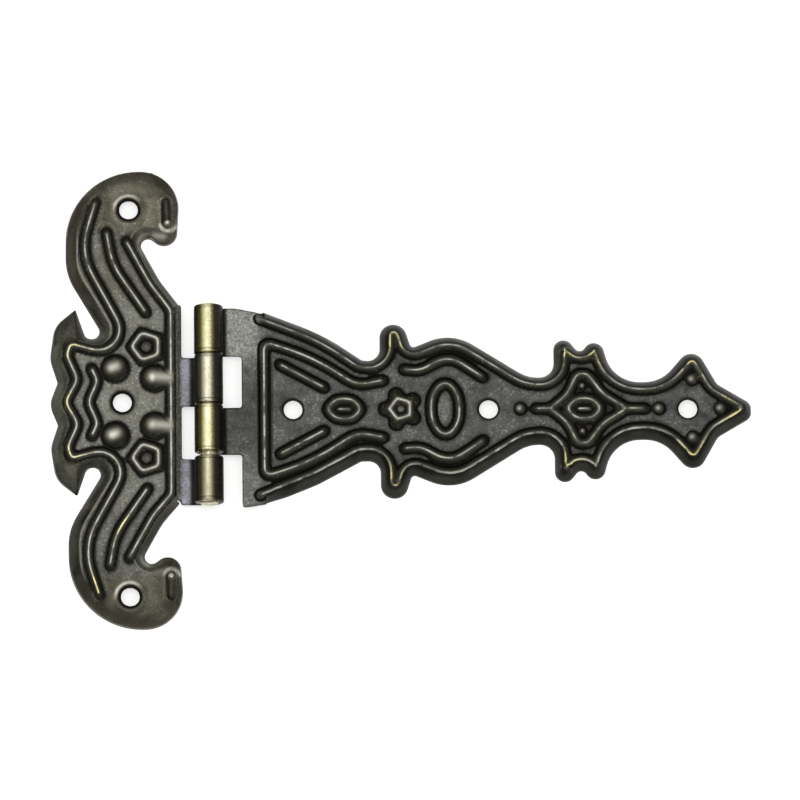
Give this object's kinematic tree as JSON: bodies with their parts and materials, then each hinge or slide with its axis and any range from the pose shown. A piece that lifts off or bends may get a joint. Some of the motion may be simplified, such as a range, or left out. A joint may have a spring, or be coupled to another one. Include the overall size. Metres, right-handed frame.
{
  "type": "strap hinge",
  "caption": "Pressed ornamental strap hinge: a cross leaf with bird-head ends and a long scalloped strap leaf swing on a pin; screw holes fix it to a small door or box lid.",
  "frame": {"origin": "centre of the cross leaf's middle screw hole on the mounting plane, which the turned-down rims rest on", "axes": "+X toward the tip of the strap leaf, +Y along the pin, +Z out of the ornamented front"},
  "size_m": [0.13, 0.087, 0.0065],
  "materials": {
    "leaf_plating": "antique bronze plating over pressed steel sheet, dark in the recesses and rubbed pale on the ridges",
    "pin_plating": "brass-coloured plating on a plain steel pin"
  },
  "bodies": {
    "butt": {"butt_leaf": "leaf_plating", "hinge_pin": "pin_plating"},
    "strap": {"strap_leaf": "leaf_plating"}
  },
  "joints": [
    {"name": "strap_swing", "type": "hinge", "parent": "butt", "child": "strap", "pos_m": [0.01595, -0.0014, 0.00385], "axis": [0, -1, 0], "range_deg": [-90, 180]}
  ]
}
